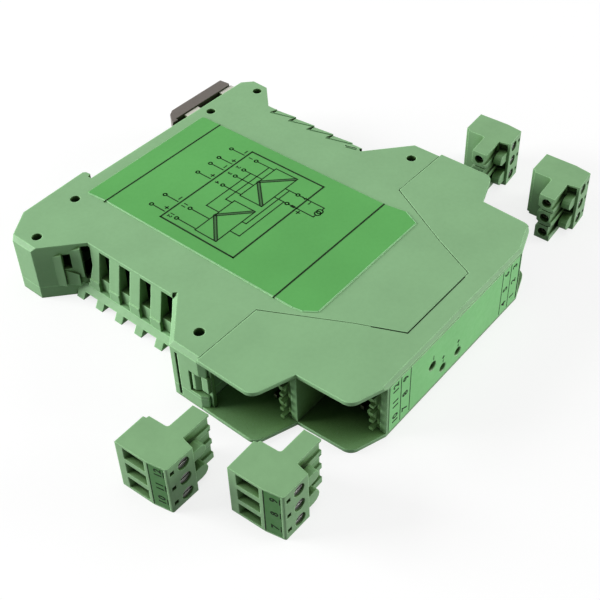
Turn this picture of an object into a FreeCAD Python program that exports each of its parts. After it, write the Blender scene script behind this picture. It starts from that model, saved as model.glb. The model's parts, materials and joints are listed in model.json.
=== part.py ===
import FreeCAD, Part
import math
import os

os.makedirs("parts", exist_ok=True)

# Millimetres, +Z up. The module lies on its broad side, label side up.
# X runs along the housing height, Y from the front face to the rail side.
# Distances along Y are written from the front face and moved to the
# middle of the depth when a piece is saved.

# Driving sizes of the housing
height = 99.0
depth = 114.5
thick = 17.5
wall = 1.5
frontWall = 1.8
armPlate = 1.1
partingZ = 3.8
seamGap = 0.18
edgeBreak = 1.05
halfHeight = height / 2.0

# Plan stations, from the front face
frontHalf = 28.8
firstTipX = 38.0
firstTipY = 3.2
notchX = 38.8
notchY = 18.1
secondTipY = 22.0
tipRadius = 3.0
seamY = 38.5
shoulderY = 47.5
waistX = 38.0
waistY = 57.7
railY = 109.0
earInnerY = railY - 20.0
earX = waistX + 10.9
earLowY = railY - 10.2
earHighY = railY - 2.8
earRearX = earX - 8.4
earOverhang = 3.9
earTipY = railY + earOverhang
earRearY = earTipY - 0.9

# Rail clip
railFlange = 1.0
hookRootX = -19.3
hookTipX = hookRootX + 1.2
hookNotchY = railY + railFlange + 0.2

# Terminal sockets and plugs
pitch = 5.08
poles = 3
poleZ = [thick / 2.0 + pitch * (i - 1) for i in range(poles)]
socketWalls = [(-frontHalf, 0.0), (-notchX, notchY)]
blockInset = 7.0
blockLength = 2.2
endWallInset = blockInset + blockLength + 0.1
endWallThick = 1.2
shroudDepth = 15.6
pinSize = 1.0
pinCentreV = 7.65
pinTipInset = 1.0

# Assembly pins of the two shell halves
pinHoleRadius = 1.4
pinRadius = 1.35
bossRadius = 2.6
pinTopZ = 14.5
pinPlaces = [
    (4.2 - earX, earLowY + 2.4), (-28.1, railY - 3.6), (25.2, railY - 3.6),
    (waistX + 4.0, railY - 7.3), (-42.8, seamY + 5.7), (42.8, seamY + 5.7)]

# Snap corner of the hood: window, tapered lip and guide
windowLow = 4.9
windowHigh = 11.7
windowEndY = seamY + 3.4
lipReach = 1.5
lipTaper = 0.95
guideX = halfHeight - wall - 0.1
guideThick = 1.1
grooveY = seamY + 6.7

# Side vents
barPitch = 7.6
barWidth = 3.7
barFirst = waistY + 6.0
barCount = 4
ventTop = thick - 1.0
toothWidth = 2.7
toothPitch = 7.4
ledgeX = waistX + 4.5
ledgeTopX = waistX + 2.1
ledgeEdgeX = waistX + 3.4
barFootZ = 7.0
sillZ = 8.0
sillX = waistX + 0.9
ledgeZ = 2.1
slopeScales = [
    (4.9, 2.2, 1.0, 6.5, 15.5, 16.4),
    (9.6, 7.3, 0.9, 3.8, 14.0, 14.8),
    (7.6, 3.6, 1.1, 3.8, 9.0, 7.7)]
slopeWindows = [(-0.4, 2.1, 5.2, 16.4), (5.1, 7.2, 9.3, 14.3)]
shinglePitch = 7.1
shingleFirst = waistY + 4.3
shingleCount = 4
shingleProud = 0.85

# Circuit board and front controls
boardLow = 1.6
boardHigh = 2.8
trimmerPlaces = [(-6.2, 4.1), (0.3, 4.2)]
trimmerHole = 1.2
screwRadius = 1.0
screwClearance = 0.06
ledPlace = (-10.9, 8.6)
ledRadius = 1.15
ledHole = 1.3

# Foot latch and its guide
footLow = 0.8
footHigh = 17.0
footGap = 2.6
footThick = 4.0
footFrontY = railY + footGap
footRearY = footFrontY + footThick
guideRearY = footFrontY - 0.2
footTravel = 3.2
footNoseX = 14.25
footLipX = footNoseX + 2.15
footEndX = 40.35
stemX = 28.2
stemWide = 3.4
pocketX = stemX - 0.2
pocketEndX = stemX + stemWide + footTravel + 4.0
pocketFrontY = railY - 5.2

# Labels
filmThick = 0.15
plateThick = 0.2


def box(x0, x1, y0, y1, z0, z1):
    return Part.makeBox(x1 - x0, y1 - y0, z1 - z0, FreeCAD.Vector(x0, y0, z0))


def wireOf(points):
    # Corners are (x, y) or (x, y, radius); a radius becomes a tangent arc.
    count = len(points)
    edges = []
    lastEnd = None
    firstStart = None
    for i in range(count):
        here = FreeCAD.Vector(points[i][0], points[i][1], 0)
        radius = points[i][2] if len(points[i]) > 2 else 0.0
        before = FreeCAD.Vector(points[i - 1][0], points[i - 1][1], 0)
        after = points[(i + 1) % count]
        after = FreeCAD.Vector(after[0], after[1], 0)
        start = here
        end = here
        if radius > 0:
            inward = (before - here).normalize()
            onward = (after - here).normalize()
            half = inward.getAngle(onward) / 2.0
            reach = radius / math.tan(half)
            start = here + inward * reach
            end = here + onward * reach
            middle = (inward + onward).normalize()
            centre = here + middle * (radius / math.sin(half))
            top = centre - middle * radius
        if lastEnd is not None:
            edges.append(Part.makeLine(lastEnd, start))
        else:
            firstStart = start
        if radius > 0:
            edges.append(Part.Arc(start, top, end).toShape())
        lastEnd = end
    edges.append(Part.makeLine(lastEnd, firstStart))
    return Part.Wire(edges)


def prism(points, z0, z1):
    face = Part.Face(wireOf(points))
    face.translate(FreeCAD.Vector(0, 0, z0))
    return face.extrude(FreeCAD.Vector(0, 0, z1 - z0))


def prismAlongY(points, y0, y1):
    # Corners are (x, z).
    corners = [FreeCAD.Vector(p[0], y0, p[1]) for p in points]
    face = Part.Face(Part.makePolygon(corners + [corners[0]]))
    return face.extrude(FreeCAD.Vector(0, y1 - y0, 0))


def rod(x, y, z, radius, length, axis):
    return Part.makeCylinder(
        radius, length, FreeCAD.Vector(x, y, z), FreeCAD.Vector(*axis))


def facetRod(x, y, z, radius, length, axis, sides=12):
    # A small or hidden round drawn with a few flat sides.
    centre = FreeCAD.Vector(x, y, z)
    along = FreeCAD.Vector(*axis)
    across = FreeCAD.Vector(axis[1], axis[2], axis[0])
    corners = []
    for i in range(sides):
        turn = FreeCAD.Rotation(along, 360.0 * (i + 0.5) / sides)
        corners.append(centre + turn.multVec(across) * radius)
    face = Part.Face(Part.makePolygon(corners + [corners[0]]))
    return face.extrude(along * length)


def mirrored(shape):
    return shape.mirror(FreeCAD.Vector(0, 0, 0), FreeCAD.Vector(1, 0, 0))


def both(shape):
    return [shape, mirrored(shape)]


def insetPoints(points, distance):
    # Each side of a counter-clockwise outline moves inward by the distance.
    moved = []
    for i in range(len(points)):
        a = FreeCAD.Vector(points[i - 1][0], points[i - 1][1], 0)
        b = FreeCAD.Vector(points[i][0], points[i][1], 0)
        after = points[(i + 1) % len(points)]
        c = FreeCAD.Vector(after[0], after[1], 0)
        first = (b - a).normalize()
        second = (c - b).normalize()
        firstLeft = FreeCAD.Vector(-first.y, first.x, 0)
        secondLeft = FreeCAD.Vector(-second.y, second.x, 0)
        middle = (firstLeft + secondLeft).normalize()
        reach = distance / middle.dot(firstLeft)
        corner = b + middle * reach
        moved.append((corner.x, corner.y))
    return moved


def edgeWedge(p, q, size, top):
    # A 45 degree wedge along the edge from p to q, the body on its left.
    along = FreeCAD.Vector(q[0] - p[0], q[1] - p[1], 0)
    length = along.Length
    along.normalize()
    left = FreeCAD.Vector(-along.y, along.x, 0)
    start = FreeCAD.Vector(p[0], p[1], top) - along * size
    reach = size + 0.2
    a = start - left * 0.2 + FreeCAD.Vector(0, 0, 0.2)
    b = a + left * (reach + 0.2)
    c = a - FreeCAD.Vector(0, 0, reach + 0.2)
    face = Part.Face(Part.makePolygon([a, b, c, a]))
    return face.extrude(along * (length + 2 * size))


def joined(shapes):
    first = shapes[0]
    if len(shapes) > 1:
        first = first.multiFuse(shapes[1:])
    return first.removeSplitter()


def save(node, shapes):
    shapes = shapes if isinstance(shapes, list) else [shapes]
    solids = []
    for shape in shapes:
        moved = shape.copy()
        moved.translate(FreeCAD.Vector(0, -depth / 2.0, 0))
        solids.extend(moved.Solids)
    whole = solids[0] if len(solids) == 1 else Part.makeCompound(solids)
    whole.exportStep("parts/" + node + ".step")
    bad = [s for s in solids if not s.isValid()]
    print(node, "solids", len(solids), "bad", len(bad))


# Plan outlines

tonguePoints = [(29.0, seamY), (18.2, notchY - 0.2), (12.8, 6.1)]


def tongue(grow):
    right = [
        (tonguePoints[0][0] + grow, seamY),
        (tonguePoints[1][0] + grow, tonguePoints[1][1]),
        (tonguePoints[2][0] + grow, tonguePoints[2][1] - grow)]
    left = [(-p[0], p[1]) for p in reversed(right)]
    return right + left


def hoodOutline():
    right = [
        (frontHalf, 0.0),
        (firstTipX, firstTipY, tipRadius),
        (notchX, notchY),
        (halfHeight, secondTipY, tipRadius),
        (halfHeight, seamY)]
    left = [(-p[0],) + tuple(p[1:]) for p in reversed(right)]
    return right + tongue(seamGap) + left


def rearOutline():
    return [
        (halfHeight, seamY + seamGap),
        (halfHeight, shoulderY),
        (waistX, waistY),
        (waistX, railY - 15.5),
        (waistX + 7.2, railY - 8.4),
        (waistX + 7.5, earHighY),
        (waistX + 4.6, railY),
        (hookRootX, railY),
        (hookRootX, hookNotchY),
        (hookTipX, hookNotchY + 0.5),
        (hookTipX - 0.2, earTipY - 0.6),
        (hookTipX - 0.9, earTipY),
        (-earRearX, earRearY),
        (-earX, earHighY),
        (-earX, earLowY),
        (-waistX, earInnerY),
        (-waistX, waistY),
        (-halfHeight, shoulderY),
        (-halfHeight, seamY + seamGap),
        (-tonguePoints[0][0], seamY + seamGap),
        (-tonguePoints[1][0], tonguePoints[1][1]),
        (-tonguePoints[2][0], tonguePoints[2][1]),
        tonguePoints[2],
        tonguePoints[1],
        (tonguePoints[0][0], seamY + seamGap)]


def rearBoxOutline():
    # The walled box behind the sockets: no tongue, plain front side.
    return rearOutline()[:19]


def cavityOutline():
    # As the box, but the rail hook stays solid.
    points = rearBoxOutline()
    solidX = hookRootX - 0.7
    return points[:7] + [(solidX, railY), (solidX, earTipY - 0.1)] + points[12:]


# Housing

def wallRing(z0, z1):
    points = rearBoxOutline()
    ring = prism(points, z0, z1)
    ring = ring.cut(prism(insetPoints(cavityOutline(), wall), z0 - 1, z1 + 1))
    # The tongue opens the front side.
    inner = tonguePoints[0][0] - 0.7
    return ring.cut(box(-inner, inner, seamY - 1, seamY + 3, z0 - 1, z1 + 1))


def slopePoint(along, out, z):
    # A place on the ear's sloping side: along it from the vents, and proud.
    foot = FreeCAD.Vector(-waistX, earInnerY, 0)
    end = FreeCAD.Vector(-earX, earLowY, 0)
    way = (end - foot).normalize()
    outward = FreeCAD.Vector(-way.y, way.x, 0)
    return foot + way * along + outward * out + FreeCAD.Vector(0, 0, z)


def slopeScale(far, near, proud, low, highFar, highNear):
    # A scale on the slope, proud at its near edge, with a slanted top.
    plan = [(far, 0.0), (near, proud), (near, -0.6), (far, -0.6)]
    tops = [highFar, highNear, highNear, highFar]
    under = [slopePoint(p[0], p[1], low) for p in plan]
    over = [slopePoint(p[0], p[1], top) for p, top in zip(plan, tops)]
    return frustum(under, over)


def slopeWindow(near, far, low, high):
    plan = [(near, 2.0), (near, -wall - 1.0), (far, -wall - 1.0), (far, 2.0)]
    under = [slopePoint(p[0], p[1], low) for p in plan]
    over = [slopePoint(p[0], p[1], high) for p in plan]
    return frustum(under, over)


def nearVents(z0, z1):
    slots = []
    slotWidth = barPitch - barWidth
    for i in range(barCount):
        centre = barFirst + barPitch * (i - 0.5)
        low = centre - slotWidth / 2.0
        high = centre + slotWidth / 2.0
        slots.append(box(-waistX - 3.0, -waistX + 4.0, low, high, sillZ, z1))
        slots.append(box(-waistX - 3.0, -sillX, low, high, z0, sillZ + 0.1))
    return slots


def leaningWall():
    # The vent wall leans outward toward the table and steps out at the bars' feet.
    points = [
        (-waistX, thick - 0.6), (-ledgeTopX + 0.25, barFootZ),
        (-ledgeTopX, barFootZ - 0.1), (-ledgeTopX, partingZ),
        (-waistX + wall, partingZ), (-waistX + wall, thick - 0.6)]
    return prismAlongY(points, waistY - 1.5, earInnerY)


def shingleSteps():
    # Steps in the label side's edge, each with a narrow gap before its shingle.
    steps = []
    for i in range(shingleCount):
        tip = shingleFirst + shinglePitch * i
        back = tip + shinglePitch - 0.2
        steps.append(prism([
            (waistX - 2.0, back + 0.8), (waistX + 0.2, tip - 0.1),
            (waistX + 2.0, tip - 0.1), (waistX + 2.0, back), (waistX, back)],
            thick - 0.9, thick + 1))
    first = shingleFirst - 2.9
    steps.append(prism([
        (waistX - 2.0, first + 3.6), (waistX - 1.0, first),
        (waistX - 0.65, first), (waistX - 1.65, first + 3.6)],
        thick - 0.9, thick + 1))
    return steps


def shingles():
    # Far side: each shingle stands proud at its front and hides a slot.
    scales = []
    slots = []
    for i in range(shingleCount):
        tip = shingleFirst + shinglePitch * i
        back = tip + shinglePitch - 0.4
        scales.append(prism([
            (waistX - 1.36, back), (waistX + 0.53, tip),
            (waistX + shingleProud, tip), (waistX + 0.2, back)],
            partingZ, thick - 0.3))
        slots.append(box(
            waistX - 3.0, waistX + 2.0, tip - 1.1, tip, partingZ + 1.4, 15.4))
    tip = shingleFirst + shinglePitch * shingleCount
    scales.append(prism([
        (waistX - 1.0, tip + 3.0), (waistX - 1.0, tip),
        (waistX + 0.45, tip), (waistX + 0.1, tip + 3.0)],
        partingZ, thick - 0.3))
    return scales, slots


def rearShell():
    plate = prism(rearOutline(), thick - armPlate, thick)
    ring = wallRing(partingZ, thick - armPlate)
    lips = seamLips(partingZ, windowLow + 0.5)
    lips += seamLips(windowHigh - 0.5, thick - armPlate - 0.1)
    shell = joined([plate, ring, leaningWall()] + lips + pinBosses(partingZ))
    for step in shingleSteps():
        shell = shell.cut(step)
    scales, slots = shingles()
    shell = joined([shell] + scales)
    for slot in slots + nearVents(partingZ - 1, ventTop):
        shell = shell.cut(slot)
    for values in slopeWindows:
        shell = shell.cut(slopeWindow(*values))
    scales = [slopeScale(*values) for values in slopeScales]
    shell = joined([shell, footPocket()] + scales)
    shell = shell.cut(stemSlot())
    for x, y in pinPlaces:
        shell = shell.cut(facetRod(
            x, y, partingZ - 1, pinHoleRadius, thick, (0, 0, 1), 16))
    for p, q in brokenEdges():
        shell = shell.cut(edgeWedge(p, q, edgeBreak, thick))
    for window in latchWindows():
        shell = shell.cut(window)
    return shell.removeSplitter()


def brokenEdges():
    return [
        ((-earX, earHighY), (-earX, earLowY)),
        ((-waistX, waistY), (-halfHeight, shoulderY)),
        ((-halfHeight, shoulderY), (-halfHeight, seamY)),
        ((halfHeight, seamY), (halfHeight, shoulderY)),
        ((halfHeight, shoulderY), (waistX, waistY))]


def frustum(low, high):
    # A solid between two four-sided rings whose sides are parallel in pairs.
    faces = []
    for ring in (low, high):
        faces.append(Part.Face(Part.makePolygon(ring + [ring[0]])))
    for i in range(4):
        j = (i + 1) % 4
        side = [low[i], low[j], high[j], high[i], low[i]]
        faces.append(Part.Face(Part.makePolygon(side)))
    solid = Part.makeSolid(Part.makeShell(faces))
    if solid.Volume < 0:
        solid.reverse()
    return solid


def pinBosses(low):
    bosses = []
    for x, y in pinPlaces:
        bosses.append(facetRod(
            x, y, low, bossRadius, thick - armPlate - low, (0, 0, 1)))
    return bosses


def latchWindows():
    # The snap window and the way in for the hood's arm, on both flanks.
    window = box(
        -halfHeight - 1, -halfHeight + 2.0, seamY - 2, windowEndY,
        windowLow, windowHigh)
    notch = box(
        -guideX - 0.2, -guideX + guideThick + 0.2, seamY, seamY + 2.0,
        windowLow + 0.1, windowHigh - 0.1)
    return both(window) + both(notch) + mouldLines()


def mouldLines():
    return both(box(
        -halfHeight - 1, -halfHeight + 0.5, grooveY, grooveY + 0.8, 0.8, 15.2))


def seamLips(z0, z1):
    # The side wall's tapered end, which leads the hood on.
    inner = guideX + 0.2
    back = seamY + seamGap + 0.5
    points = [
        (-halfHeight, back), (-halfHeight, seamY + seamGap),
        (-halfHeight + lipTaper, seamY - lipReach), (-inner, seamY - lipReach),
        (-inner, back)]
    return both(prism(points, z0, z1))


def footPocket():
    block = box(
        pocketX - 1.2, pocketEndX + 1.2, pocketFrontY - 1.2, railY - wall,
        partingZ, thick - armPlate)
    hollow = box(
        pocketX, pocketEndX, pocketFrontY, railY - wall, partingZ - 1, 14.2)
    return block.cut(hollow)


def stemSlot():
    return box(
        stemX - 0.2, stemX + stemWide + footTravel + 0.2,
        railY - wall - 0.2, railY + 1, 5.2, 12.3)


def rearCover():
    plate = prism(rearOutline(), 0, armPlate)
    ring = wallRing(armPlate, partingZ)
    parts = [plate, ring, coverLedge()] + coverTeeth()
    parts += seamLips(armPlate + 0.1, partingZ)
    for x, y in pinPlaces:
        parts.append(facetRod(
            x, y, armPlate, bossRadius, partingZ - armPlate, (0, 0, 1)))
    parts.append(box(
        pocketX, pocketEndX, pocketFrontY, railY - wall, armPlate, partingZ))
    cover = joined(parts)
    for x, y in pinPlaces:
        cover = cover.cut(facetRod(x, y, armPlate, pinHoleRadius, 5, (0, 0, 1)))
    for shape in mouldLines():
        cover = cover.cut(shape)
    return cover.removeSplitter()


def coverLedge():
    # A ledge that flares out below the vents.
    points = [
        (-ledgeTopX, partingZ), (-ledgeEdgeX, ledgeZ),
        (-waistX + 0.5, ledgeZ), (-waistX + 0.5, partingZ)]
    return prismAlongY(points, waistY + 0.3, earInnerY + 3.5)


def coverTeeth():
    teeth = []
    for i in range(barCount + 1):
        centre = waistY + 3.5 + toothPitch * i
        teeth.append(prismAlongY([
            (-ledgeX, 0.0), (-ledgeEdgeX, ledgeZ), (-ledgeTopX - 0.4, ledgeZ + 0.8),
            (-ledgeTopX, ledgeZ + 0.8), (-ledgeTopX, 0.0)],
            centre - toothWidth / 2.0, centre + toothWidth / 2.0))
    return teeth


def shellPins():
    pins = []
    for x, y in pinPlaces:
        low = armPlate + 0.1
        pins.append(facetRod(x, y, low, pinRadius, pinTopZ - low, (0, 0, 1)))
    return pins


def hood():
    plates = [
        prism(hoodOutline(), 0, armPlate),
        prism(hoodOutline(), thick - armPlate, thick)]
    low = armPlate
    high = thick - armPlate
    parts = plates + [box(-frontHalf, frontHalf, 0, frontWall, low, high)]
    web = box(-notchX, -17.9, notchY, notchY + frontWall, low, high)
    parts.extend(both(web))
    for x, y in socketWalls:
        x0 = x + endWallInset
        deep = notchY if y == 0 else seamY
        end = box(x0, x0 + endWallThick, y + 0.5, deep, low, high)
        end = end.cut(pinHoles(x, y))
        parts.extend(both(end))
    parts.extend(both(snapTab()))
    shape = joined(parts)
    for hole in frontHoles(0):
        shape = shape.cut(hole)
    for p, q in [
            ((-frontHalf, 0), (frontHalf, 0)),
            ((frontHalf, 0), (firstTipX - 1.2, firstTipY - 0.4))]:
        shape = shape.cut(edgeWedge(p, q, 0.8, thick))
    return shape.removeSplitter()


def snapTab():
    # Guide wall and snap lug that reach into the rear shell.
    x0 = -guideX
    x1 = -guideX + guideThick
    armEnd = windowEndY - 0.3
    guide = box(x0, x1, seamY - 2.3, seamY, armPlate, thick - armPlate)
    arm = box(x0, x1, seamY, armEnd, windowLow + 0.3, windowHigh - 0.3)
    lug = prism(
        [(x0, seamY + 0.4), (x0 - 1.3, armEnd - 1.2), (x0 - 1.3, armEnd - 0.4),
         (x0, armEnd - 0.4)], windowLow + 0.7, windowHigh - 0.7)
    bar = box(
        x0 - 1.0, x0, seamY - 2.1, seamY - 0.1, windowLow + 1.7, windowHigh - 0.1)
    return joined([guide, arm, lug, bar])


def pinHoles(x, y):
    holes = []
    for z in poleZ:
        holes.append(box(
            x + 5, x + 14, y + pinCentreV - 0.7, y + pinCentreV + 0.7,
            z - 0.7, z + 0.7))
    return Part.makeCompound(holes)


def frontHoles(grow):
    holes = []
    for x, z in trimmerPlaces:
        holes.append(rod(x, -1, z, trimmerHole + grow, 4, (0, 1, 0)))
    x, z = ledPlace
    holes.append(rod(x, -1, z, ledHole + grow, 4, (0, 1, 0)))
    return holes


def frontLabel():
    film = box(-28.0, 28.4, -filmThick, 0, 1.0, 16.3)
    for hole in frontHoles(0.15):
        film = film.cut(hole)
    return film


def sideLabel():
    points = [
        (22.6, 31.5), (21.6, 38.0), (21.5, 105.1, 0.8), (-24.4, 104.8, 0.8),
        (-23.7, 98.2), (-23.4, 32.2), (-22.8, 29.3), (-20.6, 26.3), (20.4, 26.7)]
    return prism(points, thick, thick + plateThick)


# Sockets

def headerBlock(x, y):
    low = armPlate + 0.2
    high = thick - armPlate - 0.2
    back = box(
        x + blockInset, x + blockInset + blockLength,
        y + frontWall + 0.1, y + shroudDepth, low, high)
    comb = box(
        x + 0.2, x + blockInset + 0.1, y + frontWall + 0.1, y + 2.7, low, high)
    parts = [back, comb]
    for z in poleZ:
        for side in (-1.35, 1.35):
            parts.append(box(
                x - 1.8, x + blockInset + 0.1, y + 2.5, y + 3.6,
                z + side - 0.4, z + side + 0.4))
    for z in (thick / 2.0 - pitch / 2.0, thick / 2.0 + pitch / 2.0):
        parts.append(facetRod(x - 0.8, y + 3.4, z, 1.5, blockInset + 1, (1, 0, 0)))
    shape = joined(parts)
    shape = shape.cut(box(x - 2, x + 0.2, y, y + 2.5, 0, thick))
    for pin in headerPins(x, y):
        shape = shape.cut(pin)
    return shape


def headerPins(x, y):
    pins = []
    half = pinSize / 2.0
    for i in range(poles):
        z = poleZ[i]
        bend = x + 11.6 + 1.9 * i
        run = box(
            x + pinTipInset, bend + pinSize, y + pinCentreV - half,
            y + pinCentreV + half, z - half, z + half)
        drop = box(
            bend, bend + pinSize, y + pinCentreV - half,
            y + pinCentreV + half, boardHigh, z + half)
        pins.append(joined([run, drop]))
    return pins


# Inner pieces

def circuitBoard():
    points = [
        (17.4, frontWall + 0.6), (17.4, notchY + 2.1), (28.0, notchY + 2.1),
        (28.0, seamY + 2.3), (waistX - 2.0, seamY + 2.3),
        (waistX - 2.0, railY - 11.0)]
    points += [(-x, y) for x, y in reversed(points)]
    return prism(points, boardLow, boardHigh)


def trimmerBody(x, z):
    body = box(x - 2.4, x + 2.4, 3.2, 12.7, boardHigh + 0.05, boardHigh + 4.85)
    bore = rod(x, 3.0, z, screwRadius + screwClearance, 3.2, (0, 1, 0))
    return body.cut(bore)


def trimmerScrew(x, z):
    screw = rod(x, 1.2, z, screwRadius, 4.6, (0, 1, 0))
    slot = box(x - 0.2, x + 0.2, 1.0, 1.8, z - 2, z + 2)
    return screw.cut(slot)


def statusLed():
    x, z = ledPlace
    lens = rod(x, 0.7, z, ledRadius, 3.6, (0, 1, 0))
    base = box(x - 1.5, x + 1.5, 4.2, 6.2, z - 1.5, z + 1.5)
    leg = box(x - 0.3, x + 0.3, 4.9, 5.5, boardHigh, z - 1.4)
    return joined([lens, base, leg])


def transformer():
    foot = boardHigh + 1.5
    core = box(-11.0, 11.0, 60.0, 80.0, foot, 14.5)
    core = core.cut(box(-7.0, 7.0, 57.0, 83.0, 7.2, 12.0))
    coil = [
        box(-6.9, 6.9, 58.0, 82.0, 7.3, 11.9),
        box(-10.0, 10.0, 57.5, 82.5, boardHigh, foot)]
    for y0, y1 in ((57.5, 59.8), (80.2, 82.5)):
        coil.append(box(-9.0, 9.0, y0, y1, foot - 0.1, 13.5))
    return core, joined(coil)


def capacitors():
    places = [(-26.0, 66.0), (-26.0, 78.0), (25.0, 66.0)]
    return [facetRod(x, y, boardHigh, 3.2, 11.2, (0, 0, 1)) for x, y in places]


def chips():
    bodies = []
    for x, y in [(-8.0, 28.0), (8.0, 28.0), (0.0, 48.0)]:
        bodies.append(box(x - 3.3, x + 3.3, y - 4.7, y + 4.7, 3.6, 6.9))
    return bodies


# Foot latch

def footLatch():
    noseY = footFrontY - 0.9
    points = [
        (footNoseX, noseY), (footLipX, noseY), (footLipX, footFrontY),
        (footEndX - 0.4, footFrontY), (footEndX, footFrontY + 0.6),
        (footEndX - 0.3, footRearY), (footNoseX + 4.5, footRearY),
        (footNoseX + 2.5, footRearY - 1.2)]
    slab = prism(points, footLow, footHigh)
    stem = box(
        stemX, stemX + stemWide, pocketFrontY + 2.0, footFrontY + 0.5, 5.5, 12.0)
    head = box(
        stemX, stemX + stemWide, pocketFrontY + 1.1, railY - wall - 0.1, 4.3, 13.8)
    return joined([slab, stem, head])


def footGuide():
    low = footLow + 0.2
    parts = []
    for x0, x1 in [(19.9, 25.5), (35.2, 40.4)]:
        parts.append(box(x0, x1, railY, guideRearY, low, 16.6))
    parts.append(box(19.9, 40.4, railY, guideRearY, low, 4.2))
    parts.append(box(19.9, 40.4, railY, guideRearY, 12.9, 14.4))
    return joined(parts)


def footSpring():
    # A folded strip between the latch stem and the end of its pocket.
    folds = 4
    x0 = stemX + stemWide + 0.05
    x1 = pocketEndX - 0.05
    step = (x1 - x0) / folds
    near = pocketFrontY + 0.7
    far = railY - wall - 0.4
    strip = 0.3
    upper = []
    lower = []
    for i in range(folds + 1):
        y = near if i % 2 == 0 else far
        x = x0 + step * i
        upper.append((x, y + strip))
        lower.append((x, y - strip))
    return prism(upper + lower[::-1], 6.2, 11.2)


# Terminal plugs, drawn once: u is the way in, v from the screw face

plugHigh = 15.0
plugPoleZ = [plugHigh / 2.0 + pitch * (i - 1) for i in range(poles)]
stripThick = 0.5
plugPoints = [
    (0.0, 14.2), (0.6, 5.0), (1.7, 0.1, 0.5), (9.35, 0.0), (9.5, 1.0), (9.9, 3.4),
    (17.9, 3.5), (17.6, 8.0), (9.9, 8.0, 0.8), (9.5, 13.4),
    (8.8, 13.5), (8.6, 14.4)]
screwU = 6.4
screwHole = 1.65
testHoleU = 3.0
testHoleHalf = 0.6
screwDepth = 0.5
lobePockets = [(12.1, 14.4), (5.6, 8.7)]
lobeSpans = [(8.9, 12.0), (1.6, 5.4)]
lobeTipU = 13.6
tongueSteps = [(11.3, 14.3), (6.6, 9.7), (1.9, 4.9)]
wireV = 9.6
contactV = 5.7


def plugStripPoints():
    return [
        (0.6, 5.0), (1.52, 0.9), (1.52 + stripThick, 0.9),
        (0.6 + stripThick, 5.0)]


def plugBody():
    body = prism(plugPoints, 0, plugHigh)
    body = body.cut(prism(plugStripPoints(), 0.4, plugHigh - 0.4))
    for low, high in lobePockets:
        body = body.cut(box(8.4, 12.0, 0.7, 3.4, low, high))
    for low, high in lobeSpans:
        body = body.fuse(plugLobe(low, high))
    for z in plugPoleZ:
        body = body.cut(wireFunnel(z))
        body = body.cut(box(3.3, 8.2, 4.0, 11.9, z - 1.9, z + 1.9))
        body = body.cut(facetRod(screwU, -1, z, screwHole, 5.0, (0, 1, 0), 20))
        body = body.cut(box(
            testHoleU - testHoleHalf, testHoleU + testHoleHalf, -1, 2.5,
            z - testHoleHalf, z + testHoleHalf))
        body = body.cut(box(8.2, 16.6, 4.4, 7.1, z - 1.35, z + 1.35))
        body = body.cut(facetRod(16.6, contactV, z, 1.4, 2, (1, 0, 0), 12))
    for z in (plugPoleZ[0] + pitch / 2.0, plugPoleZ[1] + pitch / 2.0):
        body = body.cut(box(16.9, 19, 3.0, 9.0, z - 0.15, z + 0.15))
        body = body.cut(tongueNotch(z))
    for low, high in tongueSteps:
        body = body.cut(box(10.3, 19, 3.0, 4.1, low, high))
    return body.removeSplitter()


def plugLobe(low, high):
    # A thumb-shaped coding lobe beside the tongue.
    radius = (high - low) / 2.0
    centre = lobeTipU - radius
    corners = [FreeCAD.Vector(9.0, 0.7, high), FreeCAD.Vector(9.0, 0.7, low)]
    for i in range(7):
        angle = math.radians(-90 + 30 * i)
        corners.append(FreeCAD.Vector(
            centre + radius * math.cos(angle), 0.7,
            low + radius + radius * math.sin(angle)))
    face = Part.Face(Part.makePolygon(corners + [corners[0]]))
    return face.extrude(FreeCAD.Vector(0, 2.3, 0))


def tongueNotch(z):
    # The back of the tongue is rounded pole by pole.
    points = [
        (8.3, z - 1.3), (8.3, z + 1.3), (7.3, z + 0.55), (6.7, z),
        (7.3, z - 0.55)]
    corners = [FreeCAD.Vector(10.8, p[0], p[1]) for p in points]
    face = Part.Face(Part.makePolygon(corners + [corners[0]]))
    return face.extrude(FreeCAD.Vector(9, 0, 0))


def wireFunnel(z):
    # A mouth with one sloping side that narrows toward the clamp.
    mouthU = -0.4
    throatU = 1.4

    def ring(u, v0, v1, half):
        corners = [(v0, z - half), (v1, z - half), (v1, z + half), (v0, z + half)]
        return [FreeCAD.Vector(u, c[0], c[1]) for c in corners]
    mouth = ring(mouthU, wireV - 4.4, wireV + 2.6, 1.95)
    throat = ring(throatU, wireV - 2.9, wireV + 2.1, 1.6)
    hole = box(
        throatU, 3.4, wireV - 2.9, wireV + 2.1, z - 1.6, z + 1.6)
    return frustum(mouth, throat).fuse(hole)


def plugStrip():
    return prism(plugStripPoints(), 0.4, plugHigh - 0.4)


def plugScrews():
    screws = []
    for z in plugPoleZ:
        head = facetRod(
            screwU, screwDepth, z, screwHole - 0.1, 2.9, (0, 1, 0), 20)
        shank = facetRod(screwU, screwDepth + 2.9, z, 1.0, 3.4, (0, 1, 0), 6)
        slot = box(
            screwU - 3, screwU + 3, screwDepth - 0.2, screwDepth + 0.8,
            z - 0.25, z + 0.25)
        screws.append(joined([head, shank]).cut(slot))
    return screws


def plugCages():
    cages = []
    for z in plugPoleZ:
        cage = box(3.5, 8.0, 4.6, 11.7, z - 1.75, z + 1.75)
        cage = cage.cut(box(3.0, 9.0, 7.2, 11.1, z - 1.2, z + 1.2))
        cage = cage.cut(facetRod(screwU, 4.0, z, 1.04, 4, (0, 1, 0), 6))
        cages.append(cage)
    return cages


def plugContacts():
    contacts = []
    for z in plugPoleZ:
        tube = box(10.4, 16.3, 4.6, 6.9, z - 1.2, z + 1.2)
        tube = tube.cut(box(10.0, 17.0, 5.1, 6.4, z - 0.7, z + 0.7))
        tail = box(8.1, 10.5, 6.4, 6.9, z - 1.0, z + 1.0)
        contacts.append(joined([tube, tail]))
    return contacts


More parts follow.
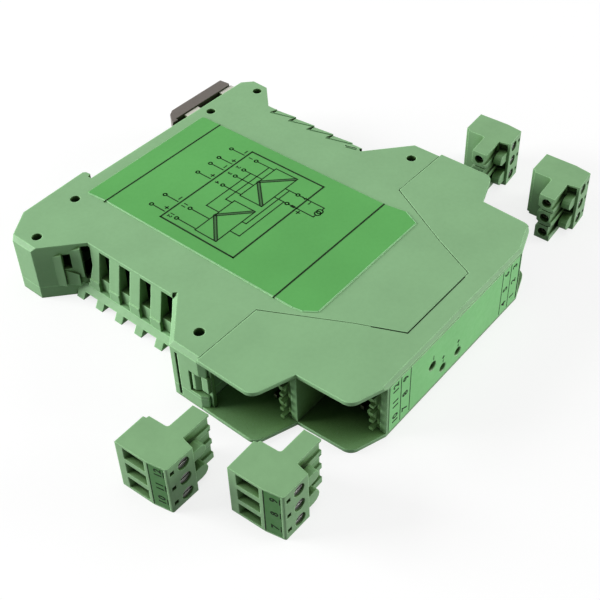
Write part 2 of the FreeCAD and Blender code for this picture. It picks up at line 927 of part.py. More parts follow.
def placed(shape, flip, turn, x, y):
    shape = shape.copy()
    if flip:
        shape = mirrored(shape)
    shape.rotate(FreeCAD.Vector(0, 0, 0), FreeCAD.Vector(0, 0, 1), turn)
    shape.translate(FreeCAD.Vector(x, y, 0))
    return shape


plugPlaces = [
    ("front_left", False, 0.0, -65.46, 0.23),
    ("rear_left", False, 0.0, -75.65, 23.63),
    ("front_right", True, 4.5, 72.13, 2.63),
    ("rear_right", True, 5.5, 77.96, 28.17)]


# Build

save("rear_shell", rearShell())
save("rear_cover", rearCover())
save("shell_pins", shellPins())
save("hood", hood())
save("front_label", frontLabel())
save("side_label", sideLabel())
save("foot_latch", footLatch())
save("foot_guide", footGuide())
save("foot_spring", footSpring())
save("circuit_board", circuitBoard())
save("status_led", statusLed())
for name, place in zip(("a", "b"), trimmerPlaces):
    save("trimmer_body_" + name, trimmerBody(*place))
    save("trimmer_screw_" + name, trimmerScrew(*place))
core, coil = transformer()
save("transformer_core", core)
save("transformer_coil", coil)
save("capacitors", capacitors())
save("chips", chips())

pins = []
for name, (x, y) in zip(("front", "rear"), socketWalls):
    block = headerBlock(x, y)
    save("header_" + name + "_left", block)
    save("header_" + name + "_right", mirrored(block))
    for pin in headerPins(x, y):
        pins.extend(both(pin))
save("header_pins", pins)

body = plugBody()
for name, flip, turn, x, y in plugPlaces:
    save("plug_body_" + name, placed(body, flip, turn, x, y))
plugGroups = [
    ("plug_strips", [plugStrip()]),
    ("plug_screws", plugScrews()),
    ("plug_cages", plugCages()),
    ("plug_contacts", plugContacts())]
for node, shapes in plugGroups:
    group = []
    for name, flip, turn, x, y in plugPlaces:
        group.extend(placed(s, flip, turn, x, y) for s in shapes)
    save(node, group)
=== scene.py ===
import json
import math

import bpy
import numpy as np
from mathutils import Matrix, Vector


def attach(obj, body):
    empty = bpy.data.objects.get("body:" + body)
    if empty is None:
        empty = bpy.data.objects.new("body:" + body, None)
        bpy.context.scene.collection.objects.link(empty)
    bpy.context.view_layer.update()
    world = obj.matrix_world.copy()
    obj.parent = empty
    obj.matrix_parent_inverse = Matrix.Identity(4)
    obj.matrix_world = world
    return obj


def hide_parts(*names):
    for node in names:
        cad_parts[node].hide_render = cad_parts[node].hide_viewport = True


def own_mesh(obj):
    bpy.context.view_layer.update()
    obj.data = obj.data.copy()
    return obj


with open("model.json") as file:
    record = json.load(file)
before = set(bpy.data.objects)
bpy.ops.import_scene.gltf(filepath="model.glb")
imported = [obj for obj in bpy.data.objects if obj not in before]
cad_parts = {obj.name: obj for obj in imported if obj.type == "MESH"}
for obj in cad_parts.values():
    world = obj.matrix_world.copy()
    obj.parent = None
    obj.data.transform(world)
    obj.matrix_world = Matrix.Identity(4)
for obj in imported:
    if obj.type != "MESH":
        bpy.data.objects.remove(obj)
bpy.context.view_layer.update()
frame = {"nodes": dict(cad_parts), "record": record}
nodes = frame["nodes"]
mm = 0.001
frontY = -57.25  # the front face of the hood, in mm
print("frame loaded,", len(nodes), "nodes")

# where the photograph was taken from, in mm and degrees
camera = {
    "place": (-153.51, -142.41, 192.83),
    "azimuth": -49.13, "elevation": 39.58, "roll": -1.79,
    "lens": 62.08, "sensor": 36.0, "shift": (-0.0068, -0.1513),
    "near": 0.01, "far": 20.0,  # in metres
}


def makeCamera(values):
    azimuth = math.radians(values["azimuth"])
    elevation = math.radians(values["elevation"])
    forward = Vector((
        -math.sin(azimuth) * math.cos(elevation),
        math.cos(azimuth) * math.cos(elevation),
        -math.sin(elevation)))
    right = forward.cross(Vector((0, 0, 1))).normalized()
    up = right.cross(forward)
    turn = Matrix.Rotation(math.radians(-values["roll"]), 3, forward)
    right, up = turn @ right, turn @ up
    data = bpy.data.cameras.new("photoCamera")
    data.lens = values["lens"]
    data.sensor_width = values["sensor"]
    data.shift_x, data.shift_y = values["shift"]
    data.clip_start, data.clip_end = values["near"], values["far"]
    made = bpy.data.objects.new("photoCamera", data)
    facing = Matrix((right, up, -forward)).transposed().to_4x4()
    made.matrix_world = Matrix.Translation(Vector(values["place"]) * mm) @ facing
    bpy.context.scene.collection.objects.link(made)
    bpy.context.scene.camera = made


makeCamera(camera)
print("camera set")


def isSocket(value):
    return isinstance(value, bpy.types.NodeSocket)


def addNode(tree, kind, sockets=None, **settings):
    made = tree.nodes.new(kind)
    for key, value in settings.items():
        setattr(made, key, value)
    for key, value in (sockets or {}).items():
        if isSocket(value):
            tree.links.new(value, made.inputs[key])
        else:
            made.inputs[key].default_value = value
    return made


def addNoise(tree, place, scale, detail):
    return addNode(tree, "ShaderNodeTexNoise", {
        "Vector": place, "Scale": scale, "Detail": detail}).outputs["Fac"]


def addMaths(tree, operation, first, second):
    return addNode(
        tree, "ShaderNodeMath", {0: first, 1: second}, operation=operation).outputs["Value"]


def addDot(tree, first, second):
    return addNode(
        tree, "ShaderNodeVectorMath", {0: first, 1: second}, operation="DOT_PRODUCT"
    ).outputs["Value"]


# how open the surface is within a reach in mm, from 0 to 1
def addOpenness(tree, reach, samples, local=False):
    return addNode(tree, "ShaderNodeAmbientOcclusion", {
        "Distance": reach * mm}, samples=samples, only_local=local).outputs["AO"]


def mixColour(tree, factor, low, high):
    made = addNode(tree, "ShaderNodeMix", data_type="RGBA")
    colourSockets = (made.inputs[0], made.inputs[6], made.inputs[7])
    for socket, value in zip(colourSockets, (factor, low, high)):
        if isSocket(value):
            tree.links.new(value, socket)
        else:
            socket.default_value = value
    return made.outputs[2]


def mapped(tree, value, fromLow, fromHigh, toLow, toHigh):
    return addNode(tree, "ShaderNodeMapRange", {
        "Value": value, "From Min": fromLow, "From Max": fromHigh,
        "To Min": toLow, "To Max": toHigh}).outputs["Result"]


def scaled(colour, factor):
    return tuple(min(1.0, c * factor) for c in colour) + (1.0,)


# what a finish has unless it says otherwise; edge, reach and grainHigh are in mm
plainLook = {
    "cloud": 70.0, "cloudDetail": 3.0, "spread": 0.05,  # slow changes of tone
    "fleck": 900.0, "fleckDetail": 2.0, "speck": 0.04, "speckTone": 0.35,  # dark specks
    "noiseSpan": (0.3, 0.7), "speckSpan": (0.35, 0.75),  # the noise's values that count
    "edge": 0.35, "bevelSamples": 4, "edgeHighlight": 0.3, "edgeTone": 1.9,  # painted highlights on edges
    "flush": 0.99, "turned": 0.90,  # how far the bevel turns the normal, from no painted highlight to full
    "filmTop": 0.6, "filmSide": 0.5,  # where a film's face ends and its cut edge begins
    "reach": 20.0, "openSamples": 6, "local": False,  # shade in hollows
    "shut": 0.1, "open": 0.8, "deep": 0.05, "fall": 1.5,
    "seamSamples": 4, "seamShut": 0.2, "seamOpen": 0.7, "seamDeep": 0.1,  # shade at gaps
    # the painted shade's greener tint, the openness it starts below, and its darkest tone
    "shadeTint": (0.76, 1.0, 0.42), "shadeTintBelow": 0.25, "shadeTone": 0.02,
    "rough": 0.5, "roughSpread": 0.06,
    "grain": 0.25, "grainFine": 3200.0, "grainDetail": 2.0, "grainHigh": 0.04,
    "metal": 0.0, "gloss": 0.28, "clear": 0.0,
}


# base * (1 +- spread), clouded, with dark specks
def mottled(tree, place, fleck, look):
    base, spread = look["colour"], look["spread"]
    cloud = addNoise(tree, place, look["cloud"], look["cloudDetail"])
    cloud = mapped(tree, cloud, *look["noiseSpan"], 0.0, 1.0)
    soft = mixColour(tree, cloud, scaled(base, 1 - spread), scaled(base, 1 + spread))
    speck = mapped(tree, fleck, *look["speckSpan"], 0.0, look["speck"])
    return mixColour(tree, speck, soft, scaled(base, look["speckTone"]))


# painted highlight: paler where the bevel turns the normal away; the pale cut edge of a film is
# partly its own colour and partly painted highlight
def edged(tree, colour, bevelled, look):
    flat = addNode(tree, "ShaderNodeNewGeometry").outputs["Normal"]
    shine = mapped(
        tree, addDot(tree, bevelled, flat), look["flush"], look["turned"], 0.0, look["edgeHighlight"])
    edgeColour = look.get("edgeColour", scaled(look["colour"], look["edgeTone"]))
    colour = mixColour(tree, shine, colour, edgeColour)
    if "rim" in look:
        side = mapped(
            tree, addDot(tree, flat, look["face"]), look["filmTop"], look["filmSide"], 0.0, 1.0)
        colour = mixColour(tree, side, colour, look["rim"])
    return colour


# painted shade: greener, then nearly black, where the surface is hemmed in or beside a narrow gap
def sunken(tree, colour, look):
    openness = addOpenness(tree, look["reach"], look["openSamples"], look["local"])
    lit = mapped(tree, openness, look["shut"], look["open"], look["deep"], 1.0)
    lit = addMaths(tree, "POWER", lit, look["fall"])
    if "seam" in look:
        beside = addOpenness(tree, look["seam"], look["seamSamples"])
        beside = mapped(
            tree, beside, look["seamShut"], look["seamOpen"], look["seamDeep"], 1.0)
        lit = addMaths(tree, "MULTIPLY", lit, beside)
    tint = tuple(c * f for c, f in zip(look["colour"], look["shadeTint"])) + (1.0,)
    shaded = mixColour(tree, mapped(tree, lit, look["shadeTintBelow"], 1.0, 0.0, 1.0), tint, colour)
    return mixColour(tree, lit, scaled(look["colour"], look["shadeTone"]), shaded)


def finish(name, changes):
    look = {**plainLook, **changes}
    material = bpy.data.materials.new(name)
    material.use_nodes = True
    tree = material.node_tree
    shader = tree.nodes["Principled BSDF"]
    place = addNode(tree, "ShaderNodeTexCoord").outputs["Object"]
    fleck = addNoise(tree, place, look["fleck"], look["fleckDetail"])
    grain = addNoise(tree, place, look["grainFine"], look["grainDetail"])
    bevelled = addNode(tree, "ShaderNodeBevel", {
        "Radius": look["edge"] * mm}, samples=look["bevelSamples"]).outputs["Normal"]
    colour = mottled(tree, place, fleck, look)
    # painted highlights on edges, then painted shade in hollows and beside gaps
    colour = sunken(tree, edged(tree, colour, bevelled, look), look)
    tree.links.new(colour, shader.inputs["Base Color"])
    low, high = look["rough"] - look["roughSpread"], look["rough"] + look["roughSpread"]
    rough = mapped(tree, fleck, *look["noiseSpan"], low, high)
    tree.links.new(rough, shader.inputs["Roughness"])
    bump = addNode(tree, "ShaderNodeBump", {
        "Strength": look["grain"], "Distance": look["grainHigh"] * mm,
        "Height": grain, "Normal": bevelled})
    tree.links.new(bump.outputs["Normal"], shader.inputs["Normal"])
    shader.inputs["Metallic"].default_value = look["metal"]
    shader.inputs["Specular IOR Level"].default_value = look["gloss"]
    shader.inputs["Transmission Weight"].default_value = look["clear"]
    return material


# Each finish's edge values paint highlights on edges and glints on the screws' rims, and its
# reach, deep and seam values paint shade in hollows and at gaps.
finishes = {
    "housing_green": {
        "colour": (0.256, 0.478, 0.240), "rough": 0.55, "edgeHighlight": 0.85, "edge": 0.45,
        "reach": 32.0, "seam": 1.2, "local": True},
    "header_green": {
        "colour": (0.245, 0.450, 0.215), "rough": 0.55, "edgeHighlight": 0.6, "fall": 1.0},
    "plug_green": {
        "colour": (0.232, 0.434, 0.212), "edgeHighlight": 0.8, "reach": 6.5, "local": True,
        "cloud": 160.0},
    "strip_green": {
        "colour": (0.042, 0.190, 0.034), "rough": 0.45, "edgeHighlight": 0.15, "grain": 0.1,
        "reach": 3.0, "local": True},
    "label_front": {
        "colour": (0.268, 0.710, 0.262), "gloss": 0.25, "grain": 0.08, "edgeHighlight": 0.8,
        "edge": 0.2, "edgeColour": (0.50, 0.78, 0.46, 1.0), "local": True,
        "face": (0.0, -1.0, 0.0), "rim": (0.60, 0.86, 0.56, 1.0)},
    "label_side": {
        "colour": (0.122, 0.426, 0.112), "rough": 0.55, "gloss": 0.15, "grain": 0.06,
        "edgeHighlight": 0.9, "edge": 0.22, "edgeColour": (0.55, 0.80, 0.52, 1.0), "local": True,
        "cloud": 40.0, "spread": 0.07,
        "face": (0.0, 0.0, 1.0), "rim": (0.52, 0.86, 0.50, 1.0)},
    "foot_dark": {"colour": (0.146, 0.128, 0.113), "rough": 0.45, "edgeHighlight": 0.4, "grain": 0.2},
    "guide_white": {"colour": (0.800, 0.780, 0.700), "edgeHighlight": 0.2, "reach": 3.0},
    "spring_steel": {
        "colour": (0.55, 0.55, 0.56), "rough": 0.28, "metal": 1.0, "spread": 0.03},
    "board_green": {"colour": (0.030, 0.170, 0.060), "rough": 0.35, "grain": 0.1},
    "lens_clear": {
        "colour": (0.350, 0.420, 0.330), "rough": 0.15, "grain": 0.03, "clear": 0.4},
    "trimmer_blue": {"colour": (0.040, 0.130, 0.450), "rough": 0.4},
    "brass": {"colour": (0.700, 0.520, 0.230), "rough": 0.3, "metal": 1.0},
    "ferrite": {"colour": (0.045, 0.045, 0.048), "rough": 0.7},
    "coil_former": {"colour": (0.520, 0.420, 0.160)},
    "can_dark": {"colour": (0.030, 0.030, 0.045), "rough": 0.3},
    "chip_black": {"colour": (0.020, 0.020, 0.020), "rough": 0.6},
    "pin_tin": {
        "colour": (0.40, 0.40, 0.39), "rough": 0.4, "metal": 1.0, "spread": 0.03, "edgeHighlight": 0.1},
    # the pale edge colour paints glints on the screw heads, and the short reach paints shade in
    # their wells
    "screw_steel": {
        "colour": (0.17, 0.17, 0.16), "rough": 0.32, "metal": 0.8, "spread": 0.08,
        "reach": 2.0, "deep": 0.35, "local": True, "edgeHighlight": 1.0, "edge": 0.16,
        "edgeColour": (0.85, 0.85, 0.83, 1.0)},
}
# the inks; the darkest also draws the painted shade along the hood's seam, the tone the painted
# shadows between the scales, and the pale one the painted highlight on the side label's near edge
inks = {
    "print_ink_and_shade": {
        "colour": (0.010, 0.028, 0.008), "rough": 0.6, "edgeHighlight": 0.0, "spread": 0.2,
        "grain": 0.05, "gloss": 0.1},
    "print_tone_and_shadow": {
        "colour": (0.045, 0.150, 0.042), "edgeHighlight": 0.0, "spread": 0.1, "grain": 0.05,
        "local": True},
    "film_edge_highlight": {
        "colour": (0.40, 0.78, 0.40), "rough": 0.4, "edgeHighlight": 0.0, "grain": 0.05, "local": True},
}
materials = {name: finish(name, look) for name, look in finishes.items()}
for part in frame["record"]["subparts"]:
    mesh = nodes[part["node"]].data
    mesh.materials.clear()
    mesh.materials.append(materials[part["material_slot"]])
inkAndShade, toneAndShadow, highlightInk = [finish(name, look) for name, look in inks.items()]
print("finishes made:", len(finishes) + len(inks))

# print's thickness and widths in mm, and bold as a share of a number's size
printing = {
    "thick": 0.03, "line": 0.50, "thin": 0.33, "bold": 0.026, "space": 1.15, "rounding": 3}


# Each line from p to q is a flat bar: its corners are p - d*w/2 and q + d*w/2,
# moved by +-n*w/2, with d along the line and n across it, at heights 0 and t.
def bars(lines, width):
    ends = np.array(lines, float).reshape(-1, 2, 2)
    along = ends[:, 1] - ends[:, 0]
    along /= np.linalg.norm(along, axis=1)[:, None]
    across = np.stack([-along[:, 1], along[:, 0]], 1)
    half = width / 2.0
    start = ends[:, 0] - along * half
    stop = ends[:, 1] + along * half
    flat = np.stack([
        start - across * half, stop - across * half,
        stop + across * half, start + across * half], 1)
    low = np.concatenate([flat, np.zeros(flat.shape[:2] + (1,))], 2)
    high = low + np.array([0, 0, printing["thick"]])
    points = np.concatenate([low, high], 1).reshape(-1, 3)
    box = np.array([
        [3, 2, 1, 0], [4, 5, 6, 7], [0, 1, 5, 4], [1, 2, 6, 5], [2, 3, 7, 6], [3, 0, 4, 7]])
    faces = (box[None] + 8 * np.arange(len(ends))[:, None, None]).reshape(-1, 4)
    return points, faces.tolist()


# Chords of a circle: point k is (x + r cos a, y + r sin a), a = 2 pi k / sides.
def ring(x, y, radius, sides):
    turn = np.linspace(0, 2 * math.pi, sides + 1)
    points = np.stack([x + radius * np.cos(turn), y + radius * np.sin(turn)], 1)
    return np.stack([points[:-1], points[1:]], 1)


# The four sides of a rectangle.
def boxLines(x0, y0, x1, y1):
    return [((x0, y0), (x1, y0)), ((x1, y0), (x1, y1)), ((x1, y1), (x0, y1)), ((x0, y1), (x0, y0))]


# A number as a thin solid, centred on (x, y) and turned by an angle in degrees.
def glyphs(text, x, y, size, turn=0.0):
    data = bpy.data.curves.new("number", "FONT")
    data.body = text
    data.size = size
    data.align_x, data.align_y = "CENTER", "CENTER"
    data.extrude = printing["thick"] / 2.0
    data.offset = printing["bold"] * size
    data.space_character = printing["space"]
    data.resolution_u = printing["rounding"]
    made = bpy.data.objects.new("number", data)
    bpy.context.scene.collection.objects.link(made)
    bpy.context.view_layer.update()
    mesh = bpy.data.meshes.new_from_object(
        made.evaluated_get(bpy.context.evaluated_depsgraph_get()))
    points = np.zeros(len(mesh.vertices) * 3)
    mesh.vertices.foreach_get("co", points)
    points = points.reshape(-1, 3)
    angle = math.radians(turn)
    spin = np.array([[math.cos(angle), math.sin(angle)], [-math.sin(angle), math.cos(angle)]])
    points[:, :2] = points[:, :2] @ spin + np.array([x, y])
    points[:, 2] += printing["thick"] / 2.0
    faces = [list(p.vertices) for p in mesh.polygons]
    bpy.data.objects.remove(made)
    bpy.data.meshes.remove(mesh)
    bpy.data.curves.remove(data)
    return points, faces


# Several meshes as one: each one's faces count on from the points before it.
def gathered(parts):
    points = []
    faces = []
    count = 0
    for some, sides in parts:
        points.append(some)
        faces.extend([[index + count for index in side] for side in sides])
        count += len(some)
    return np.concatenate(points), faces


# A flat drawing (a, b, h) goes to origin + a*across + b*up + h*out, out = across x up.
def layOn(points, origin, across, up):
    across = np.array(across, float)
    up = np.array(up, float)
    out = np.cross(across, up)
    return np.array(origin, float) + points @ np.stack([across, up, out])


def addPiece(name, points, faces, material, body="housing"):
    mesh = bpy.data.meshes.new(name)
    mesh.from_pydata((np.asarray(points) * mm).tolist(), [], faces)
    mesh.validate()
    mesh.update()
    mesh.materials.append(material)
    made = bpy.data.objects.new(name, mesh)
    bpy.context.scene.collection.objects.link(made)
    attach(made, body)
    return made


# a drawing on the label side, at a height in mm
def addOnSide(name, drawing, level, material):
    points, faces = drawing
    addPiece(
        name, layOn(points, (0, frontY, level), (1, 0, 0), (0, 1, 0)), faces, material)


# the latch's spring, pressed together by the latch's travel as it slides out, in mm
spring = {
    "x": (31.65, 38.75), "y": (47.25, 49.85), "z": (6.2, 11.2),
    "folds": 4, "half": 0.3, "travel": 3.2, "steps": 12,
}


# At t from 0 to 1: x runs from end to end, y = low + swing * (1 - cos(pi folds t)) / 2,
# and the section there is a box, half wide to each side in y and the full height in z.
def foldedStrip(d):
    t = np.linspace(0.0, 1.0, d["steps"] * d["folds"] + 1)
    x = d["x"][0] + (d["x"][1] - d["x"][0]) * t
    y = d["y"][0] + (d["y"][1] - d["y"][0]) * (1 - np.cos(math.pi * d["folds"] * t)) / 2
    low, high = d["z"]
    side = d["half"] * np.array([1.0, -1.0, -1.0, 1.0])
    points = np.stack([
        np.broadcast_to(x[:, None], (len(t), 4)), y[:, None] + side,
        np.broadcast_to([high, high, low, low], (len(t), 4))], 2).reshape(-1, 3)
    start = 4 * np.arange(len(t) - 1)[:, None]
    corner = np.arange(4)
    after = (corner + 1) % 4
    faces = np.stack([
        start + corner, start + after, start + 4 + after, start + 4 + corner], 2)
    last = 4 * (len(t) - 1)
    ends = [[3, 2, 1, 0], [last, last + 1, last + 2, last + 3]]
    return points, faces.reshape(-1, 4).tolist() + ends


points, faces = foldedStrip(spring)
strip = addPiece("spring_strip", points, faces, materials["spring_steel"])
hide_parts("foot_spring")
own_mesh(strip)
print("spring made")

# The block diagram on the side label, in mm from the hood's front face. bandSide and
# bandThick are shares of the band's width and the print's thickness, and bandStart and
# bandStop of the way from the block's top to its foot.
diagram = {
    "level": 17.7, "turn": 180, "frame": (-19.1, 55.3, 17.3, 81.5),
    "rules": [((-23.4, 38.0), (21.4, 38.0)), ((-24.0, 98.0), (21.3, 98.0))],
    "blocks": [(0.5, 63.1, 15.5, 70.9), (-17.3, 63.0, -2.1, 70.5)],
    "band": 0.95, "bandSide": 0.42, "bandStart": 0.02, "bandStop": 0.05, "bandThick": 0.6,
    "inputs": [
        ("1", 14.7), ("2", 9.5), ("3", 6.0), ("4", 0.9), ("11", -11.8), ("12", -16.9)],
    "outerY": 87.2, "entryY": 82.3, "innerY": 77.7, "inputUp": 2.1, "inputSize": 1.9,
    "sign": (0.9, 2.0), "signUp": 0.5, "signHigh": 1.1,
    "crossings": [
        ((9.5, 75.1), (-8.2, 75.1)), ((-8.2, 75.1), (-8.2, 70.5)),
        ((14.7, 72.8), (-3.1, 72.8)), ((-3.1, 72.8), (-3.1, 70.5))],
    "outputs": [("7", 10.3), ("8", 5.7)],
    "outputY": 58.6, "outputDown": 2.0, "outputSize": 2.0,
    "returns": [
        ((-7.3, 63.0), (-7.3, 61.6)), ((-7.3, 61.6), (10.2, 61.6)),
        ((-12.0, 63.0), (-12.0, 59.7)), ((-12.0, 59.7), (5.7, 59.7)),
        ((9.0, 53.9), (9.9, 53.9)),
        ((4.1, 53.9), (5.2, 53.9)), ((4.65, 53.35), (4.65, 54.45))],
    "dot": 0.5, "dotSides": 14,
    "meterY": 49.5, "meter": 0.85, "meterApart": 0.45, "meterSides": 12,
}


# A block's outline and two slanting bands with thin edges, from the middle of its top
# to its two feet.
def drawBlock(d, x0, y0, x1, y1):
    thin = boxLines(x0, y0, x1, y1)
    broad = []
    middle = (x0 + x1) / 2.0
    for x in (x0, x1):
        run = np.array([x - middle, y0 - y1])
        side = np.array([-run[1], run[0]]) / np.hypot(*run) * d["band"] * d["bandSide"]
        start = np.array([middle, y1]) + d["bandStart"] * run
        stop = np.array([x, y0]) - d["bandStop"] * run
        broad.append((start, stop))
        thin.extend([(start + side, stop + side), (start - side, stop - side)])
    return thin, broad


# Each input is a circle outside the frame and one inside it, with a line from each
# toward the blocks, a number, and a minus sign or at every second one a plus sign.
def drawInputs(d):
    thin = []
    rings = []
    numbers = []
    dot, sides = d["dot"], d["dotSides"]
    blockTop = d["blocks"][0][3]
    signY = d["entryY"] + d["signUp"]
    for place, (name, x) in enumerate(d["inputs"]):
        rings.extend([ring(x, d["outerY"], dot, sides), ring(x, d["innerY"], dot, sides)])
        thin.append(((x, d["outerY"] - dot), (x, d["entryY"])))
        thin.append(((x, d["innerY"] - dot), (x, blockTop)))
        numbers.append(glyphs(name, x, d["innerY"] + d["inputUp"], d["inputSize"], d["turn"]))
        left, right = x + d["sign"][0], x + d["sign"][1]
        thin.append(((left, signY), (right, signY)))
        if place % 2:
            middle = (left + right) / 2.0
            thin.append(((middle, d["entryY"]), (middle, d["entryY"] + d["signHigh"])))
    return thin, rings, numbers


# Each output is a circle on a line from the first block's foot to the meter, with a
# number, and the meter is two circles that overlap, midway between the outputs.
def drawOutputs(d):
    thin = []
    rings = []
    numbers = []
    dot, meterY = d["dot"], d["meterY"]
    blockFoot = d["blocks"][0][1]
    numberY = d["outputY"] - d["outputDown"]
    for name, x in d["outputs"]:
        rings.append(ring(x, d["outputY"], dot, d["dotSides"]))
        thin.append(((x, d["outputY"] + dot), (x, blockFoot)))
        thin.append(((x, d["outputY"] - dot), (x, meterY)))
        numbers.append(glyphs(name, x, numberY, d["outputSize"], d["turn"]))
    high, low = [x for name, x in d["outputs"]]
    middle = (low + high) / 2.0
    apart, radius = d["meterApart"], d["meter"]
    for x in (middle - apart, middle + apart):
        rings.append(ring(x, meterY, radius, d["meterSides"]))
    reach = apart + radius
    thin.append(((low, meterY), (middle - reach, meterY)))
    thin.append(((middle + reach, meterY), (high, meterY)))
    return thin, rings, numbers


def drawDiagram(d):
    thin = d["crossings"] + d["returns"]
    broad = []
    rings = []
    numbers = []
    for block in d["blocks"]:
        edges, bands = drawBlock(d, *block)
        thin.extend(edges)
        broad.extend(bands)
    for lines, circles, names in (drawInputs(d), drawOutputs(d)):
        thin.extend(lines)
        rings.extend(circles)
        numbers.extend(names)
    parts = [bars(boxLines(*d["frame"]) + d["rules"], printing["line"])]
    parts.append(bars(thin, printing["thin"]))
    parts.append(bars(np.concatenate(rings), printing["thin"]))
    return gathered(parts + numbers), bars(broad, d["band"])


sidePrint, (bandPoints, bandFaces) = drawDiagram(diagram)
bandPoints[:, 2] *= diagram["bandThick"]
addOnSide("side_print", sidePrint, diagram["level"], inkAndShade)
addOnSide("side_tone", (bandPoints, bandFaces), diagram["level"], toneAndShadow)

# painted shadow lines in the gaps between the scales of the far side, each from its root to its
# tip
scaleShadows = {
    "level": 17.5, "wide": 0.42, "places": [62.0, 69.1, 76.2, 83.3],
    "root": (35.75, 7.3), "tip": (37.85, -0.1), "last": ((35.8, 61.9), (36.5, 59.1)),
}
(rootX, rootY), (tipX, tipY) = scaleShadows["root"], scaleShadows["tip"]
scaleShadowLines = [((rootX, y + rootY), (tipX, y + tipY)) for y in scaleShadows["places"]]
addOnSide(
    "scale_shadows", bars(scaleShadowLines + [scaleShadows["last"]], scaleShadows["wide"]), scaleShadows["level"], toneAndShadow)

# painted shade along the near part of the seam round the hood's tongue
seamShade = {
    "level": 17.5, "wide": 0.3,
    "lines": [((-12.98, 5.93), (11.0, 5.93)), ((-12.98, 5.93), (-16.5, 13.7))],
}
addOnSide("seam_shade", bars(seamShade["lines"], seamShade["wide"]), seamShade["level"], inkAndShade)

# painted highlight along the near cut edges of the side label's film
labelHighlight = {
    "level": 17.7, "wide": 0.16,
    "corners": [
        (-24.15, 104.3), (-23.5, 98.2), (-23.2, 32.2), (-22.65, 29.45), (-20.5, 26.5),
        (20.3, 26.9), (22.4, 31.5)],
}
labelHighlightLines = list(zip(labelHighlight["corners"][:-1], labelHighlight["corners"][1:]))
addOnSide("side_rim", bars(labelHighlightLines, labelHighlight["wide"]), labelHighlight["level"], highlightInk)
print("side label printed")

# The numbers, rules and marks on the front label, x and z in mm. They are read along z,
# so a minus sign is a stroke from low to high.
frontArt = {
    "y": frontY - 0.15, "turn": 90, "low": 1.5, "high": 16.1, "middle": 9.1,
    "rules": [-23.7, -20.0, 19.7, 23.5], "edge": 27.9, "thin": 0.26,
    "columns": [
        (-25.6, (10, 11, 12)), (-21.9, (7, 8, 9)), (21.6, (4, 5, 6)), (25.5, (1, 2, 3))],
    "pitch": 5.15, "size": 2.8,
    "marks": [(-6.2, 4.1), (0.3, 4.2)], "minus": (1.9, 2.6), "plus": (3.2, 4.0), "plusHalf": 0.4,
    "lamp": (-10.6, 10.6, 11.8),
}


def drawFront(d):
    thin = [((x, d["low"]), (x, d["high"])) for x in d["rules"]]
    heavy = [((d["edge"], d["low"]), (d["edge"], d["high"]))]
    numbers = []
    for x, column in d["columns"]:
        for step, value in enumerate(column):
            z = d["middle"] + d["pitch"] * (step - 1)
            numbers.append(glyphs(str(value), x, z, d["size"], d["turn"]))
    half = d["plusHalf"]
    for x, z in d["marks"]:
        low, high = z + d["plus"][0], z + d["plus"][1]
        middle = (low + high) / 2.0
        thin.append(((x, z + d["minus"][0]), (x, z + d["minus"][1])))
        thin.append(((x - half, middle), (x + half, middle)))
        thin.append(((x, low), (x, high)))
    x, low, high = d["lamp"]
    thin.append(((x, low), (x, high)))
    return gathered([bars(thin, d["thin"]), bars(heavy, printing["line"])] + numbers)


points, faces = drawFront(frontArt)
addPiece(
    "front_print", layOn(points, (0, frontArt["y"], 0), (1, 0, 0), (0, 0, 1)), faces, inkAndShade)
print("front label printed")

# The numbers on the plugs, in the plug's own frame: u is the way in, v from the screw
# face. A place is mirrored or not, its turn in degrees, x, y and the numbers.
stripArt = {
    "foot": (1.52, 0.9), "head": (0.6, 5.0), "middle": 7.5, "rise": 0.45, "pitch": 4.74,
    "size": 2.6, "numberAt": 0.38,  # numberAt is a share of the way from foot to head
    "dash": 1.6, "dashAt": 0.25, "dashWide": 0.25,
    "rule": (0.5, 14.5), "ruleIn": 0.12, "ruleWide": 0.24,
    "places": {
        "rear_left": (False, 0.0, -75.65, 23.63, (10, 11, 12)),
        "front_left": (False, 0.0, -65.46, 0.23, (7, 8, 9)),
        "front_right": (True, 4.5, 72.13, 2.63, (4, 5, 6)),
        "rear_right": (True, 5.5, 77.96, 28.17, (1, 2, 3))},
}


# Along z each number has a dash at its foot, and one rule runs along the strip's head.
def drawStrip(d, values, side):
    length = math.dist(d["head"], d["foot"])
    numbers = []
    thin = []
    for step, value in enumerate(values):
        z = d["middle"] + d["rise"] * side + d["pitch"] * (step - 1)
        numbers.append(glyphs(str(value), z, length * d["numberAt"], d["size"]))
        thin.append(((z - d["dash"] / 2.0, d["dashAt"]), (z + d["dash"] / 2.0, d["dashAt"])))
    low, high = d["rule"]
    edge = length - d["ruleIn"]
    heavy = [((low, edge), (high, edge))]
    return gathered([bars(thin, d["dashWide"]), bars(heavy, d["ruleWide"])] + numbers)


# (u, v) turned by an angle, at height 0: x + u cos a - v sin a, y + u sin a + v cos a,
# with -u for u on a plug that is mirrored.
def placedAt(spot, flip, turn, x, y):
    u, v = spot
    u = -u if flip else u
    angle = math.radians(turn)
    return np.array([
        x + u * math.cos(angle) - v * math.sin(angle),
        y + u * math.sin(angle) + v * math.cos(angle) + frontY, 0.0])


for name, (flip, turn, x, y, values) in stripArt["places"].items():
    origin = placedAt(stripArt["foot"], flip, turn, x, y)
    head = placedAt(stripArt["head"], flip, turn, x, y)
    up = (head - origin) / np.linalg.norm(head - origin)
    across = np.array([0.0, 0.0, 1.0])
    side = 1
    if flip:
        origin = origin + np.array([0.0, 0.0, 2 * stripArt["middle"]])
        across = -across
        side = -1
        values = values[::-1]
    points, faces = drawStrip(stripArt, values, side)
    addPiece("strip_print_" + name, layOn(points, origin, across, up), faces, inkAndShade)
print("plug strips printed")

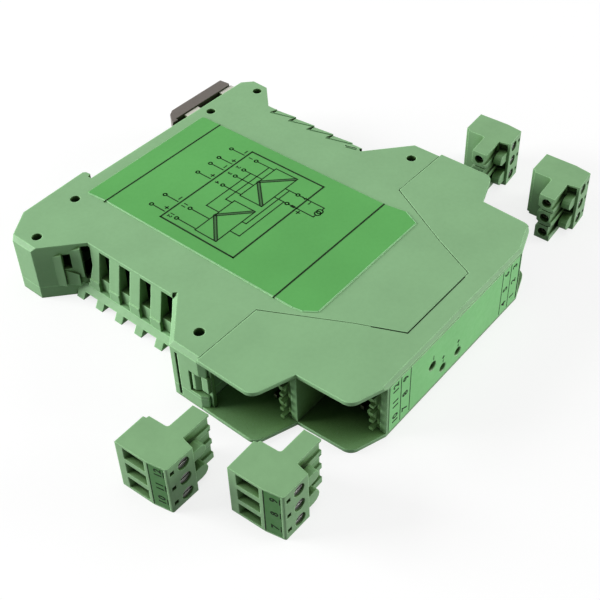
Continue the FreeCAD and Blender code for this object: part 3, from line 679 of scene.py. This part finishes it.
# floor, light and background, in metres and watts
studio = {
    "floorSize": 3.0, "floorRough": 0.9, "floorGloss": 0.1,
    "floorColour": 0.26, "floorLift": 0.77,  # as the camera sees it
    "floorBounce": 0.12, "world": 0.22,  # as they light the object
    "lamps": [
        {"name": "key", "place": (-0.64, 0.85, 0.36), "size": 0.6, "power": 15.5},
        {"name": "front", "place": (0.72, -0.80, 0.24), "size": 0.6, "power": 8.3},
        {"name": "top", "place": (0.10, -0.10, 1.50), "size": 0.8, "power": 4.4}],
}


# 1 where the camera sees a surface, also in a reflection or through glass
def addSeen(tree):
    rays = addNode(tree, "ShaderNodeLightPath").outputs
    seen = addMaths(tree, "MAXIMUM", rays["Is Camera Ray"], rays["Is Glossy Ray"])
    return addMaths(tree, "MAXIMUM", seen, rays["Is Transmission Ray"])


def addWhite(tree, kind, strength):
    return addNode(tree, kind, {"Color": (1, 1, 1, 1), "Strength": strength}).outputs[0]


def makeFloor(values):
    material = bpy.data.materials.new("studio_floor")
    material.use_nodes = True
    tree = material.node_tree
    shader = tree.nodes["Principled BSDF"]
    shader.inputs["Roughness"].default_value = values["floorRough"]
    shader.inputs["Specular IOR Level"].default_value = values["floorGloss"]
    seen = addSeen(tree)
    bounce, colour = [(c, c, c, 1.0) for c in (values["floorBounce"], values["floorColour"])]
    tree.links.new(mixColour(tree, seen, bounce, colour), shader.inputs["Base Color"])
    glow = addWhite(tree, "ShaderNodeEmission", values["floorLift"])
    both = addNode(tree, "ShaderNodeAddShader", {0: shader.outputs[0], 1: glow}).outputs[0]
    choice = addNode(tree, "ShaderNodeMixShader", {0: seen, 1: shader.outputs[0], 2: both})
    tree.links.new(choice.outputs[0], tree.nodes["Material Output"].inputs["Surface"])
    half = values["floorSize"] / 2.0
    corners = [(-half, -half, 0), (half, -half, 0), (half, half, 0), (-half, half, 0)]
    mesh = bpy.data.meshes.new("studio_floor")
    mesh.from_pydata(corners, [], [(0, 1, 2, 3)])
    mesh.materials.append(material)
    floor = bpy.data.objects.new("studio_floor", mesh)
    bpy.context.scene.collection.objects.link(floor)


def makeWorld(values):
    world = bpy.data.worlds.new("studio")
    world.use_nodes = True
    tree = world.node_tree
    tree.nodes.clear()
    plain = addWhite(tree, "ShaderNodeBackground", values["world"])
    white = addWhite(tree, "ShaderNodeBackground", 1.0)
    choice = addNode(tree, "ShaderNodeMixShader", {0: addSeen(tree), 1: plain, 2: white})
    output = addNode(tree, "ShaderNodeOutputWorld", {"Surface": choice.outputs[0]})
    output.is_active_output = True
    bpy.context.scene.world = world


def makeLamp(values):
    data = bpy.data.lights.new(values["name"], "AREA")
    data.energy = values["power"]
    data.size = values["size"]
    lamp = bpy.data.objects.new(values["name"], data)
    lamp.location = values["place"]
    lamp.rotation_euler = Vector(values["place"]).to_track_quat("Z", "Y").to_euler()
    bpy.context.scene.collection.objects.link(lamp)


makeFloor(studio)
makeWorld(studio)
for lamp in studio["lamps"]:
    makeLamp(lamp)
bpy.context.scene.view_settings.view_transform = "Standard"
print("studio lit")
